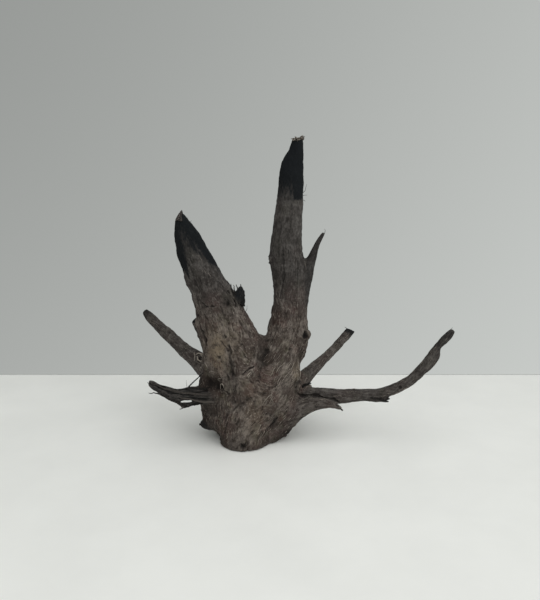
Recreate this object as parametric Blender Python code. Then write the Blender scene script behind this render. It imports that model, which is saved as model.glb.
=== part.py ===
"""Dry root: a sawn stump of weathered root wood, one grown piece that stands on its flat butt.

Frame: +Z up, the origin at the middle of the sawn butt on the surface it stands on, -Y the face
with the fork between the two prongs, +X the side of the long curved branch.

Each limb is a tube through a few stations along its heart. The tubes overlap inside the wood, a
voxel remesh grows them into one skin with rounded crotches, and a box below the ground saws the
butt flat.
"""

import math

import bmesh
import bpy
from mathutils import Vector

MM = 0.001

SKIN_VOXEL = 2.6 * MM  # fine enough to keep the thin ends of the branches
SKIN_SMOOTHING = 6  # rounds the crotches where limbs meet
SKIN_TRIANGLES = 8600
RING_SIDES = 16
RINGS_PER_SPAN = 4
GROUND_BLOCK = 300 * MM  # the cutter that saws the butt flat

BARK_COLOUR = (0.083, 0.068, 0.058, 1.0)
BARK_ROUGHNESS = 0.92

# Every limb: its name, how deep it is front to back as a share of its width, and its stations
# (x, y, z, half width) in millimetres from its hidden start to its free end.
LIMBS = {
    "stump": (
        0.78,
        [
            (-1, 6, -14, 49),
            (-1, 6, 0, 50),
            (-5, 6, 25, 58),
            (-7, 5, 50, 63),
            (-6, 4, 79, 63),
            (-5, 4, 103, 53),
            (-3, 5, 122, 36),
            (-2, 6, 134, 14),
        ],
    ),
    "front_heel": (
        0.95,
        [
            (-12, -18, -14, 36),
            (-12, -18, 0, 37),
            (-11, -16, 25, 39),
            (-11, -13, 55, 41),
            (-13, -10, 85, 41),
            (-18, -8, 115, 37),
            (-25, -8, 140, 28),
        ],
    ),
    "left_heel": (
        0.9,
        [(-36, -6, 8, 18), (-42, -8, 24, 21), (-48, -9, 42, 24), (-50, -8, 65, 25), (-48, -4, 90, 24)],
    ),
    "left_prong": (
        0.86,
        [
            (-16, 0, 60, 44),
            (-22, -4, 100, 48),
            (-27, -7, 125, 43),
            (-36.5, -10, 156, 35),
            (-46, -12, 185, 29.5),
            (-55, -13, 207, 25.5),
            (-64, -15, 225, 22.5),
            (-72, -17, 245, 20),
            (-79, -19, 261, 18),
            (-83, -20, 277, 15.5),
            (-87.5, -22, 292, 11),
            (-90, -23, 304, 5.5),
        ],
    ),
    "tall_prong": (
        0.88,
        [
            (26, -4, 45, 34),
            (32, -3, 75, 33),
            (37, -2, 104, 31),
            (44, 0, 128, 29),
            (47.5, 4, 153, 26),
            (49.5, 8, 185, 22),
            (49, 11, 212, 21.5),
            (45, 14, 240, 22.8),
            (44.8, 17, 265, 21),
            (47.8, 19, 304, 18.5),
            (50.6, 22, 335, 16.5),
            (52.8, 24, 366, 13.6),
            (56.5, 25, 385, 9),
            (59.5, 26, 402, 6.8),
        ],
    ),
    "side_spike": (
        0.9,
        [
            (56, 6, 155, 14),
            (61.5, 8, 180, 12),
            (65.5, 10, 202, 11),
            (69.5, 12, 220, 9.8),
            (76, 14, 238, 7.4),
            (83, 17, 254, 5),
            (89, 19, 267, 3.8),
            (95, 20, 278.5, 2.6),
        ],
    ),
    "left_back_branch": (
        0.95,
        [
            (-40, 12, 68, 20),
            (-58, 24, 80, 17),
            (-83, 45, 95, 12.5),
            (-103, 65, 103, 9.8),
            (-125, 90, 113.5, 9.4),
            (-145, 110, 125, 8.8),
            (-163, 125, 138, 7.6),
            (-172, 132, 145, 5.4),
        ],
    ),
    "right_back_branch": (
        1.0,
        [
            (34, 8, 50, 17),
            (50, 18, 58, 15),
            (66, 34, 66, 12),
            (80, 54, 71.5, 9.2),
            (98, 79, 80, 7.4),
            (110, 93, 86, 6.8),
            (129, 114, 98, 6.6),
            (139, 124, 106, 6.8),
            (150, 133, 115, 7.2),
        ],
    ),
    "long_branch": (
        0.92,
        [
            (14, -8, 26, 26),
            (40, -3, 44, 19),
            (66, 2, 53, 13.5),
            (91, 1, 55.5, 11.2),
            (108, -1, 55.5, 10.8),
            (125, -4, 57, 9.8),
            (140, -6, 59.5, 8.6),
            (155, -9, 61.5, 7.8),
            (169, -11, 63, 7.8),
            (186, -13, 69, 7.8),
            (205, -16, 80.5, 7.3),
            (221, -19, 96, 7.2),
            (232, -21, 113, 7.0),
            (242.5, -22, 132, 5.2),
            (252, -23, 145, 4.7),
            (261, -24, 156, 3.8),
        ],
    ),
    "long_branch_shoulder": (
        0.9,
        [(219, -19, 96, 6), (231, -21, 105, 6.2), (240.5, -22, 117, 4.8), (243, -22, 127, 3.5)],
    ),
    "long_branch_stub": (
        0.9,
        [(150, -8, 58, 6), (166, -10, 56, 4.6), (177, -12, 54.5, 3.6), (186, -13, 54, 2.6)],
    ),
    "buttress": (
        0.8,
        [
            (4, -18, 4, 22),
            (24, -20, 20, 20),
            (39, -21, 32, 18),
            (53.5, -22, 41, 15.5),
            (67, -23, 48, 12),
            (80, -24, 52.5, 9.2),
            (94.5, -25, 55, 6.8),
            (107, -26, 53.5, 4.9),
            (117, -27, 49, 3),
        ],
    ),
    "torn_branch": (
        0.75,
        [
            (-34, -18, 62, 18),
            (-54, -25, 68, 16),
            (-74, -31, 70, 13),
            (-89, -35, 68.5, 10.5),
            (-101, -39, 71, 8.8),
            (-114, -43, 77.5, 6.8),
            (-126, -47, 86, 4.9),
            (-131.5, -49, 92, 3.6),
        ],
    ),
    "torn_branch_tooth": (
        0.7,
        [(-64, -27, 63, 7), (-75, -29, 61, 6), (-86, -31, 57.5, 4.6), (-95, -33, 53, 2.8)],
    ),
    "low_left_stub": (
        0.9,
        [(-38, -8, 14, 12), (-53, -10, 17.5, 9.5), (-62, -12, 18, 6.8), (-71, -14, 19.5, 3.2)],
    ),
    "high_left_stub": (
        1.0,
        [(-52, -6, 104, 10), (-60, -8, 122, 8.6), (-66.5, -9, 141, 7.8), (-73, -11, 167, 6.4)],
    ),
    "bark_flap": (
        0.6,
        [(-28, -15, 178, 7), (-19.5, -17, 196, 7.4), (-16, -18, 206, 5.8), (-14.5, -18, 214, 3.4)],
    ),
    "right_knot": (1.0, [(56, 4, 133, 9), (66, 2, 140, 7.5), (74, 0, 143, 4.4)]),
    "right_knob": (1.0, [(56, 4, 58, 9), (68, 3, 65.5, 6.5), (77, 2, 71, 3.6)]),
    "back_stub": (1.0, [(-12, 24, 72, 15), (-15, 44, 80, 11.5), (-17, 58, 89, 9.5)]),
    "butt_spur": (0.9, [(26, -6, 12, 13), (40, -8, 8, 8), (48, -10, 5, 4)]),
}


def clear_scene():
    """Empties the startup scene."""
    for obj in list(bpy.data.objects):
        bpy.data.objects.remove(obj, do_unlink=True)


def on_curve(stations, t):
    """The station at t along a smooth curve through all of them, t running 0 to their count less 1."""
    last = len(stations) - 1
    i = min(int(t), last - 1)
    before, start, end, after = (
        stations[max(i - 1, 0)],
        stations[i],
        stations[i + 1],
        stations[min(i + 2, last)],
    )
    u = t - i
    station = []
    for p0, p1, p2, p3 in zip(before, start, end, after):
        bend = 2 * p0 - 5 * p1 + 4 * p2 - p3
        twist = 3 * p1 - p0 - 3 * p2 + p3
        station.append(0.5 * (2 * p1 + (p2 - p0) * u + bend * u * u + twist * u**3))
    return station


def ring_points(centre, along, half_width, half_depth):
    """One oval ring of the limb, square to its heart, its width lying across the front view."""
    across = along.cross(Vector((0, 1, 0))).normalized()
    inward = across.cross(along).normalized()
    points = []
    for side in range(RING_SIDES):
        angle = 2 * math.pi * side / RING_SIDES
        offset = across * half_width * math.cos(angle) + inward * half_depth * math.sin(angle)
        points.append(centre + offset)
    return points


def add_limb(mesh, depth_share, stations):
    """Adds one limb to the bmesh as a closed tube of oval rings."""
    scaled = [tuple(value * MM for value in station) for station in stations]
    count = (len(scaled) - 1) * RINGS_PER_SPAN
    path = [on_curve(scaled, i / RINGS_PER_SPAN) for i in range(count + 1)]
    rings = []
    for i, (x, y, z, half_width) in enumerate(path):
        ahead = Vector(path[min(i + 1, count)][:3])
        behind = Vector(path[max(i - 1, 0)][:3])
        points = ring_points(
            Vector((x, y, z)), (ahead - behind).normalized(), half_width, half_width * depth_share
        )
        rings.append([mesh.verts.new(point) for point in points])
    for lower, upper in zip(rings, rings[1:]):
        for a in range(RING_SIDES):
            b = (a + 1) % RING_SIDES
            mesh.faces.new((lower[a], lower[b], upper[b], upper[a]))
    mesh.faces.new(list(reversed(rings[0])))
    mesh.faces.new(rings[-1])


def bark_material():
    """The matt grey-brown of dry, weathered root wood."""
    material = bpy.data.materials.new("weathered_root_wood")
    material.use_nodes = True
    shader = material.node_tree.nodes["Principled BSDF"]
    shader.inputs["Base Color"].default_value = BARK_COLOUR
    shader.inputs["Roughness"].default_value = BARK_ROUGHNESS
    shader.inputs["Metallic"].default_value = 0.0
    return material


def ground_cutter():
    """The block of ground under the butt, which saws it flat at z = 0."""
    bpy.ops.mesh.primitive_cube_add(size=GROUND_BLOCK, location=(0, 0, -GROUND_BLOCK / 2))
    cutter = bpy.context.object
    cutter.name = "ground_cutter"
    cutter.hide_render = True
    cutter.display_type = "WIRE"
    return cutter


def grown_skin(obj):
    """Grows the overlapping limbs into one closed skin and saws its butt flat."""
    remesh = obj.modifiers.new("one_skin", "REMESH")
    remesh.mode = "VOXEL"
    remesh.voxel_size = SKIN_VOXEL
    smooth = obj.modifiers.new("rounded_crotches", "SMOOTH")
    smooth.factor = 0.5
    smooth.iterations = SKIN_SMOOTHING
    graph = bpy.context.evaluated_depsgraph_get()
    skin = obj.evaluated_get(graph).to_mesh()
    triangles = sum(len(face.vertices) - 2 for face in skin.polygons)
    obj.evaluated_get(graph).to_mesh_clear()
    decimate = obj.modifiers.new("fewer_faces", "DECIMATE")
    decimate.ratio = SKIN_TRIANGLES / triangles
    decimate.use_collapse_triangulate = True
    saw = obj.modifiers.new("sawn_butt", "BOOLEAN")
    saw.operation = "DIFFERENCE"
    saw.solver = "EXACT"
    saw.object = ground_cutter()


def dry_root():
    """The whole root as one object: it grew as one piece."""
    mesh = bmesh.new()
    for depth_share, stations in LIMBS.values():
        add_limb(mesh, depth_share, stations)
    bmesh.ops.recalc_face_normals(mesh, faces=mesh.faces)
    data = bpy.data.meshes.new("dry_root")
    mesh.to_mesh(data)
    mesh.free()
    obj = bpy.data.objects.new("dry_root", data)
    bpy.context.scene.collection.objects.link(obj)
    data.materials.append(bark_material())
    data.shade_smooth()
    grown_skin(obj)
    return obj


clear_scene()
dry_root()
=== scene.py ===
# %% [markdown]
# # A dry root, from a plain solid to weathered wood
#
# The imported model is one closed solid: a sawn stump with two upright prongs and several bare
# branches. It has the right size and place, but not the surface of wood. This lesson keeps the
# solid as it is and grows a fine skin over it: first the form of the grain, then cracks, knots and
# hollows, then the loose fibres, and last the colour of old wood.
#
# Everything is in metres, +Z up, with the origin in the middle of the sawn butt. Sizes that are
# easier to read in millimetres are multiplied by MM.

import math

import bpy
import numpy as np
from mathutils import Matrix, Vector, noise


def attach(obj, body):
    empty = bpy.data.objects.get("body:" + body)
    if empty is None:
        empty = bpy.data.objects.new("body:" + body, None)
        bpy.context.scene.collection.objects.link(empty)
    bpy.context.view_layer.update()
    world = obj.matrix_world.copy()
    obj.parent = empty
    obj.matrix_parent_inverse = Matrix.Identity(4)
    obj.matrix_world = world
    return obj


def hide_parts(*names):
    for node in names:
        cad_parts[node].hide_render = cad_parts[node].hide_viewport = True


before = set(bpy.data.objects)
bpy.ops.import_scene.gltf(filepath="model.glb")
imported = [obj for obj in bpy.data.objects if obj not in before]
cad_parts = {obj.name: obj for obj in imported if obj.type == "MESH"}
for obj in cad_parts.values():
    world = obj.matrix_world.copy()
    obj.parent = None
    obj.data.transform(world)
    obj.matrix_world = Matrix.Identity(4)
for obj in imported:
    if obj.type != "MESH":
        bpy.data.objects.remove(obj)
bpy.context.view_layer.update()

MM = 0.001
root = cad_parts["dry_root"]


# %% [markdown]
# ## Helpers used by every step
#
# An operator acts on all that is selected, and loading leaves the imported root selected. So each
# step first clears the selection and picks just the piece that it works on.

# %% Selecting one piece
def pick(piece):
    """Selects one object and makes it the active one."""
    if bpy.context.mode != "OBJECT":
        bpy.ops.object.mode_set(mode="OBJECT")
    bpy.ops.object.select_all(action="DESELECT")
    piece.select_set(True)
    bpy.context.view_layer.objects.active = piece


def apply_modifier(piece, kind, **settings):
    """Adds a modifier with its settings and applies it."""
    pick(piece)
    modifier = piece.modifiers.new(kind.lower(), kind)
    for name, value in settings.items():
        setattr(modifier, name, value)
    bpy.ops.object.modifier_apply(modifier=modifier.name)


# %% [markdown]
# ## The skin
#
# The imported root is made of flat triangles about 6 mm wide, each loose from the next. A copy of it
# is welded, rounded once by a subdivision surface, and covered by a voxel remesh, which gives even,
# small faces all over. Only small faces can carry cracks and fibres that are a few millimetres
# wide. A subdivision surface alone would leave long thin faces on the branches.

# %% Copy, weld and remesh the root
SKIN_VOXEL = 1.12 * MM

skin = bpy.data.objects.new("root_skin", root.data.copy())
bpy.context.scene.collection.objects.link(skin)
pick(skin)
bpy.ops.object.mode_set(mode="EDIT")
bpy.ops.mesh.select_all(action="SELECT")
bpy.ops.mesh.remove_doubles(threshold=0.01 * MM)
bpy.ops.object.mode_set(mode="OBJECT")
apply_modifier(skin, "SUBSURF", levels=1, render_levels=1)

# %% [markdown]
# The torn branch is split lengthwise, and daylight shows through the split. A thin spindle, made
# from a sphere, is taken away from the skin while its faces are still few, because a boolean on
# few faces is quick and clean.

# %% Split the torn branch
SPLIT_PLACE = (-87 * MM, -36 * MM, 62.4 * MM)
SPLIT_SIZE = (9.5 * MM, 34 * MM, 2.5 * MM)
SPLIT_TURN = (math.radians(-21), 0, math.radians(8))

bpy.ops.object.select_all(action="DESELECT")
bpy.ops.mesh.primitive_uv_sphere_add(segments=24, ring_count=12, radius=1, location=SPLIT_PLACE)
splitter = bpy.context.object
splitter.scale = SPLIT_SIZE
splitter.rotation_euler = SPLIT_TURN
apply_modifier(skin, "BOOLEAN", object=splitter, operation="DIFFERENCE", solver="EXACT")
bpy.data.objects.remove(splitter)

# %% Remesh to small even faces
pick(skin)
skin.data.remesh_voxel_size = SKIN_VOXEL
bpy.ops.object.voxel_remesh()
apply_modifier(skin, "SMOOTH", factor=0.5, iterations=10)
print("skin", len(skin.data.vertices), "points")


# %% [markdown]
# ## Reading and moving the points
#
# From here the skin is sculpted in code. Numpy arrays hold all its points at once, so a crack or a
# furrow is a formula that gives each point its lift along its own normal, as a sculpt brush would.

# %% Points, normals and neighbours
def read(mesh, what, name):
    """One array of three numbers for each point, from the mesh's points or normals."""
    values = np.empty(len(mesh.vertices) * 3, np.float32)
    getattr(mesh, what).foreach_get(name, values)
    return values.reshape(-1, 3).astype(float)


points = read(skin.data, "vertices", "co")
edges = np.empty(len(skin.data.edges) * 2, np.int32)
skin.data.edges.foreach_get("vertices", edges)
edge_a, edge_b = edges.reshape(-1, 2).T
neighbours = np.bincount(edges, minlength=len(points))


def spread(values, rounds):
    """Evens values out between neighbouring points, further with each round."""
    columns = values.reshape(len(values), -1).T.copy()
    for _ in range(rounds):
        for i, column in enumerate(columns):
            total = np.bincount(edge_a, column[edge_b], len(column))
            total += np.bincount(edge_b, column[edge_a], len(column))
            columns[i] = 0.5 * (column + total / neighbours)
    return columns.T.reshape(values.shape)


print("each point has", round(float(neighbours.mean()), 1), "neighbours")


# %% Normals, smooth steps and noise
def outward():
    """The skin's normals where its points now are."""
    skin.data.vertices.foreach_set("co", points.astype(np.float32).ravel())
    skin.data.update()
    return read(skin.data, "vertex_normals", "vector")


def ramp(values, start, end):
    """Smooth step from 0 at start to 1 at end."""
    t = np.clip((values - start) / (end - start), 0, 1)
    return t * t * (3 - 2 * t)


def lumps(places, size, seed=0):
    """Smooth noise from about -1 to 1; size is the width of its lumps, one for all or one an axis."""
    return np.array([noise.noise(place) for place in (places / size + 31.7 * seed).tolist()])


def span(values, unit=1):
    """The smallest and the largest value, to be printed."""
    return f"{values.min() / unit:.2f} to {values.max() / unit:.2f}"


# %% [markdown]
# ## The grain
#
# Wood fibres run along each limb and sweep into the next one where limbs meet. To draw anything
# along the grain, each point needs its place in the limb: how far across, how deep, and how far
# along. Each limb gets a heart line, a smooth curve through a few places with the limb's half
# width. Two of them start at the butt and end in the prongs, and the grain of the stump is a
# mixture of the two, wound a little, as many roots grow. The other limbs each have their own
# grain, which takes over where they start.

# %% Heart lines of the limbs, in mm: x, y, z and half width
PRONG_HEARTS = {
    "left_prong": [
        (-14, -4, -10, 46), (-17, -2, 40, 56), (-24, -4, 90, 52), (-36, -10, 156, 35),
        (-55, -13, 207, 26), (-72, -17, 245, 20), (-83, -20, 277, 15), (-90, -23, 306, 7),
    ],
    "tall_prong": [
        (-4, 2, -10, 46), (6, 0, 40, 56), (24, -1, 90, 48), (44, 2, 140, 29), (50, 8, 185, 22),
        (46, 14, 240, 23), (46, 18, 290, 19), (51, 22, 335, 16), (53, 24, 366, 13), (60, 26, 403, 7),
    ],
}
LIMB_HEARTS = {
    "long_branch": [
        (-22, -14, 4, 34), (6, -12, 26, 28), (40, -6, 46, 19), (70, 1, 54, 13), (108, -1, 56, 11),
        (155, -9, 62, 8), (186, -13, 69, 8), (221, -19, 96, 7), (242, -22, 132, 5), (262, -24, 157, 4),
    ],
    "buttress": [
        (-4, -20, -6, 26), (24, -20, 20, 20), (54, -22, 41, 15), (80, -24, 52, 9), (117, -27, 49, 4),
    ],
    "left_back_branch": [
        (-30, 8, 60, 22), (-58, 24, 80, 17), (-83, 45, 95, 12), (-125, 90, 113, 9), (-172, 132, 145, 6),
    ],
    "right_back_branch": [
        (20, 2, 42, 20), (50, 18, 58, 15), (80, 54, 71, 9), (110, 93, 86, 7), (150, 133, 115, 7),
    ],
    "torn_branch": [
        (-20, -14, 60, 20), (-54, -25, 68, 16), (-89, -35, 68, 10), (-114, -43, 77, 7), (-132, -49, 92, 4),
    ],
    "side_spike": [(52, 5, 140, 16), (61, 8, 180, 12), (70, 12, 220, 10), (83, 17, 254, 5), (95, 20, 279, 3)],
    "back_stub": [(-10, 14, 66, 17), (-15, 44, 80, 12), (-17, 60, 90, 10)],
    "low_left_stub": [(-34, -7, 12, 13), (-53, -10, 17, 10), (-72, -14, 20, 4)],
    "high_left_stub": [(-46, -4, 92, 12), (-60, -8, 122, 9), (-73, -11, 168, 6)],
    "bark_flap": [(-31, -14, 170, 8), (-20, -17, 196, 7), (-15, -18, 215, 4)],
}
print(len(PRONG_HEARTS) + len(LIMB_HEARTS), "heart lines")

# %% Smooth curves and the place of each point in a limb
HEART_STEP = 2 * MM


def smooth_line(stations):
    """A curve through the stations, given in mm, as samples in metres a short step apart."""
    given = np.array(stations, float) * MM
    padded = np.vstack([2 * given[0] - given[1], given, 2 * given[-1] - given[-2]])
    samples = []
    for before, start, end, after in zip(padded, padded[1:], padded[2:], padded[3:]):
        count = max(2, int(np.linalg.norm(end[:3] - start[:3]) / HEART_STEP))
        u = np.linspace(0, 1, count, endpoint=False)[:, None]
        bend = 2 * before - 5 * start + 4 * end - after
        twist = 3 * start - before - 3 * end + after
        samples.append(0.5 * (2 * start + (end - before) * u + bend * u**2 + twist * u**3))
    return np.vstack(samples + [given[-1:]])


def smooth_path(places):
    """A curve through places in mm, which have no half width, as samples in metres."""
    return smooth_line([(*place, 1) for place in places])[:, :3]


def place_in_limb(stations, where):
    """Each point's place in the limb: local coordinates, share, grain, half width and offset."""
    line = smooth_line(stations)
    heart, half_width = line[:, :3], line[:, 3]
    steps = np.gradient(heart, axis=0)
    length = np.linalg.norm(steps, axis=1, keepdims=True)
    grain = steps / length
    along = np.concatenate([[0], np.cumsum(np.linalg.norm(np.diff(heart, axis=0), axis=1))])
    across = [np.cross(grain[0], (0, 1, 0))]
    for direction in grain[1:]:
        across.append(across[-1] - direction * (across[-1] @ direction))
        across[-1] /= np.linalg.norm(across[-1])
    across = np.array(across) / np.linalg.norm(across[0])
    best = np.full(len(where), np.inf)
    nearest = np.zeros(len(where), int)
    for i, (centre, width) in enumerate(zip(heart, half_width)):
        distance = np.linalg.norm(where - centre, axis=1) / width
        closer = distance < best
        best[closer] = distance[closer]
        nearest[closer] = i
    offset = where - heart[nearest]
    forward = (offset * grain[nearest]).sum(1)
    offset -= grain[nearest] * forward[:, None]
    side = across[nearest]
    inward = np.cross(grain[nearest], side)
    local = np.column_stack([(offset * side).sum(1), (offset * inward).sum(1), along[nearest] + forward])
    width = half_width[nearest]
    return {"local": local, "share": best, "way": grain[nearest], "width": width, "offset": offset}


# %% Winding the grain round a limb
def twist(limb, turn, start, end):
    """Winds the grain round the limb by a turn between two places along it, as a growing tree may."""
    t = np.clip((limb["local"][:, 2] - start) / (end - start), 0, 1)
    angle = turn * t * t * (3 - 2 * t)
    rate = turn * 6 * t * (1 - t) / (end - start)
    limb["way"] = limb["way"] + rate[:, None] * np.cross(limb["way"], limb["offset"])
    limb["way"] /= np.linalg.norm(limb["way"], axis=1, keepdims=True)
    across, deep, along = limb["local"].T
    cos, sin = np.cos(angle), np.sin(angle)
    limb["local"] = np.column_stack((across * cos + deep * sin, deep * cos - across * sin, along))


# %% Grain of the stump and of the limbs
BLEND_POWER = 5
LIMB_EDGE = (0.32, 0.72)
# in metres along the grain, so that no two limbs show the same fibres
LIMB_SHIFT = 0.37
TALL_SPIRAL = (math.radians(75), -50 * MM, 170 * MM)
LEFT_SPIRAL = (math.radians(34), -50 * MM, 100 * MM)

left_prong, tall_prong = [place_in_limb(stations, points) for stations in PRONG_HEARTS.values()]
left_side = left_prong["offset"][:, 0] / left_prong["width"]
tall_side = tall_prong["offset"][:, 0] / tall_prong["width"]
twist(tall_prong, *TALL_SPIRAL)
twist(left_prong, *LEFT_SPIRAL)
prongs = (left_prong, tall_prong)
prong_weight = np.array([1 / prong["share"] ** BLEND_POWER for prong in prongs])
stump_pull = prong_weight.sum(0)
prong_weight /= stump_pull
stump_grain = sum(w[:, None] * prong["local"] for w, prong in zip(prong_weight, prongs))
stump_way = sum(w[:, None] * prong["way"] for w, prong in zip(prong_weight, prongs))
stump_width = sum(w * prong["width"] for w, prong in zip(prong_weight, prongs))

limbs = {name: place_in_limb(stations, points) for name, stations in LIMB_HEARTS.items()}
shares = np.array([limb["share"] for limb in limbs.values()])
owner = shares.argmin(0)
limb_grain = np.choose(owner[:, None], [limb["local"] for limb in limbs.values()])
limb_grain[:, 2] += LIMB_SHIFT * owner
limb_way = np.choose(owner[:, None], [limb["way"] for limb in limbs.values()])
limb_width = np.choose(owner, [limb["width"] for limb in limbs.values()])
limb_pull = 1 / shares.min(0) ** BLEND_POWER
limb_share = ramp(spread(limb_pull / (limb_pull + stump_pull), 8), *LIMB_EDGE)
way = stump_way * (1 - limb_share)[:, None] + limb_way * limb_share[:, None]
way /= np.linalg.norm(way, axis=1, keepdims=True)
thickness = stump_width * (1 - limb_share) + limb_width * limb_share
print("share of the skin on the limbs", round(float(limb_share.mean()), 2))


# %% [markdown]
# ## Knots bend the grain
#
# Where a twig once grew, the fibres flow round it as water flows round a post. The same formula is
# used here: close to the knot, the distance across the grain is squeezed to nothing. The waviness
# of the fibres between the knots is slow noise added to the same coordinates.

# %% Knots, in mm: place, radius, height of the collar and depth of the eye
KNOTS = {
    "middle_knot": ((-2, -43, 103), 4.2, 0.8, 2.2),
    "left_knot": ((-74, 28, 101), 6.5, 1.6, 4.8),
    "hollow_knot": ((-41, -41, 83), 5.5, 2.0, 1.6),
    "notch_knot": ((67, -11, 146), 5.2, 1.6, 0.8),
    "butt_knot": ((-13, -54, 8), 5.0, 1.0, 3.4),
    "patch_knot": ((-43, -41, 124), 3.2, 0.4, 1.4),
    "prong_knot": ((-31, -33, 192), 5.0, 0.8, 2.2),
    "tall_knot": ((27, 12, 243), 3.6, 2.4, 0.6),
    "back_knot": ((16, 52, 96), 8.0, 2.4, 3.4),
    "back_prong_knot": ((-44, 14, 172), 6.0, 1.8, 2.6),
    "back_tall_knot": ((52, 32, 226), 5.5, 1.6, 2.0),
    "branch_knot": ((196, -22, 76), 3.4, 0.9, 1.0),
}
WAVE_WIDTH = 34 * MM
WAVE_REACH = 3.0 * MM

normals = outward()
for centre, radius, _, _ in KNOTS.values():
    offset = points - np.array(centre) * MM
    distance = np.linalg.norm(offset, axis=1)
    squeeze = np.clip((radius * MM) ** 2 / np.maximum(distance, 1e-6) ** 2, 0, 1)
    squeeze *= 1 - ramp(distance, 1.5 * radius * MM, 4 * radius * MM)
    sideways = offset - way * (offset * way).sum(1)[:, None]
    shift = sideways * squeeze[:, None]
    for coordinates in (stump_grain, limb_grain):
        coordinates[:, 0] -= shift[:, 0]
        coordinates[:, 1] -= shift[:, 1]
for axis in (0, 1):
    wave = WAVE_REACH * lumps(points, WAVE_WIDTH, axis)
    wave += 0.14 * WAVE_REACH * lumps(points, 0.22 * WAVE_WIDTH, axis + 5)
    stump_grain[:, axis] += wave
    limb_grain[:, axis] += wave


def grain_lumps(width, length, seed=0):
    """Noise drawn out along the grain, width across and length along it, in mm."""
    size = np.array([width, width, length]) * MM
    on_stump = lumps(stump_grain, size, seed)
    on_limb = lumps(limb_grain, size, seed + 3)
    return on_stump * (1 - limb_share) + on_limb * limb_share


print("grain bent round", len(KNOTS), "knots")


# %% [markdown]
# ## Pulling the form into place
#
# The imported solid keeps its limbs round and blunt. Before any texture, a few places are pulled by
# some millimetres: the crotch between the prongs is filled, broken ends are drawn out, and twigs
# stand a little prouder. A pull fades out smoothly around its place, as the grab brush does.

# %% Brushes
EVEN = (1, 1, 1)


def near(centre, radius, stretch=EVEN):
    """1 at a place, in mm, and falling away smoothly to 0 at about twice the radius."""
    offset = (points - np.array(centre) * MM) / (np.array(stretch) * radius * MM)
    return np.exp(-(offset**2).sum(1))


def over_skin(offset, reach=8 * MM):
    """Length of offsets measured along the skin; what lies far above or below counts as far off."""
    depth = (offset * normals).sum(1)
    flat = np.linalg.norm(offset - normals * depth[:, None], axis=1)
    return flat + (np.abs(depth) > reach)


def beside(path, width):
    """1 on a path of places, in mm, and 0 at the given width in mm away from it."""
    places = np.array(path, float) * MM
    best = np.full(len(points), np.inf)
    for start, end in zip(places, places[1:]):
        run = end - start
        t = np.clip(((points - start) @ run) / (run @ run), 0, 1)
        best = np.minimum(best, over_skin(points - start - t[:, None] * run))
    best = best / narrow + 0.9 * MM * crumble + 1.9 * MM * wander
    return 1 - ramp(best, 0.1 * width * MM, width * MM)


def on_limb(name, start=0.0, end=1.0):
    """How much a point belongs to a limb, growing from start to end of its length."""
    own = owner == list(LIMB_HEARTS).index(name)
    along = limbs[name]["local"][:, 2]
    return limb_share * own * ramp(along / along[own].max(), start, max(end, start + 0.01))


crumble = lumps(points, 4 * MM, 11)
wander = lumps(points, 9 * MM, 18)
narrow = 0.45 + 0.75 * ramp(lumps(points, 11 * MM, 19), -0.35, 0.3)
print("cracks will have", span(narrow), "of their width")

# %% Pulls, in mm: place, radius, stretch and move
PULLS = [
    ((13, -2, 134), 9, (1, 2, 1), (0, 0, 3.8)), ((-89, -23, 301), 5, EVEN, (0.5, 0, 3)),
    ((59, 26, 402), 7, (1.3, 1.3, 1), (0, 0, -2.5)), ((-132, -49, 90), 9, EVEN, (-1.5, 0, 3)),
    ((-112, -43, 84), 12, EVEN, (0, 0, 2)), ((-95, -38, 55), 6, EVEN, (-3, 0, -2)),
    ((255, -23, 146), 9, EVEN, (1.2, 0, -0.5)), ((-70, -14, 20), 6, EVEN, (-2, 0, 1.5)),
    ((69, -6, 145), 5.5, EVEN, (4.5, -1.5, 0.5)), ((-70, -11, 162), 9, EVEN, (-4.5, -1, 3)),
    ((-127, 90, 124), 11, EVEN, (-1, 0, 2.6)), ((117, -27, 49), 6, EVEN, (1.5, 0, -2)),
    ((-12, -18, 198), 8, EVEN, (1.2, -1, 0)), ((150, 131, 112), 7, EVEN, (0.5, 0, 3.5)),
    ((84, 62, 60), 26, (1, 1.4, 1), (0, 0, -1.4)), ((-57, -18, 6), 14, (1, 1.6, 0.9), (7, 0, 0)),
    ((-66, -22, 42), 12, (1, 1.4, 1), (4, 0, 0)), ((-62, -14, 28), 7, EVEN, (-1, 0, 4)),
    ((-66, -22, 82), 7, EVEN, (-3, 0, 0)), ((-14, -53, 3), 16, (1.6, 1, 0.8), (0, -3.5, 0)),
    ((46, -27, 15), 7, (1, 1.2, 0.8), (1.5, 0, -2)), ((60, -14, 108), 14, (0.7, 1.3, 1.5), (-1.6, 0, 0)),
    ((85, 18, 262), 14, (1, 1, 1.2), (-1.2, 0, 1)),
]

for centre, radius, stretch, move in PULLS:
    points += near(centre, radius, stretch)[:, None] * np.array(move) * MM
print("pulls", len(PULLS))

# %% [markdown]
# ## Ridges, furrows and cracks
#
# Roots are fluted: broad ridges run up the stump into the prongs. On them lie finer furrows that
# the weather cut between the fibres, and drying slits, which are short, narrow and deep. Each is
# noise of its own size, drawn out along the grain. A slit is a place where the noise peaks, so it
# has the shape of a spindle. Remains of inner bark lie on the wood as thin flakes with a torn edge.

# %% Lift the skin along its normals
SKIN_SPARE = 0.5 * MM
FLUTE_HEIGHT = 2.1 * MM
FURROW_HEIGHT = 0.7 * MM
FIBRE_HEIGHT = 0.2 * MM
CRUMB_HEIGHT = 0.5 * MM
SLIT_DEPTH = 1.0 * MM
BARK_THICKNESS = 0.75 * MM
THIN_LIMB = 14 * MM

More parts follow.
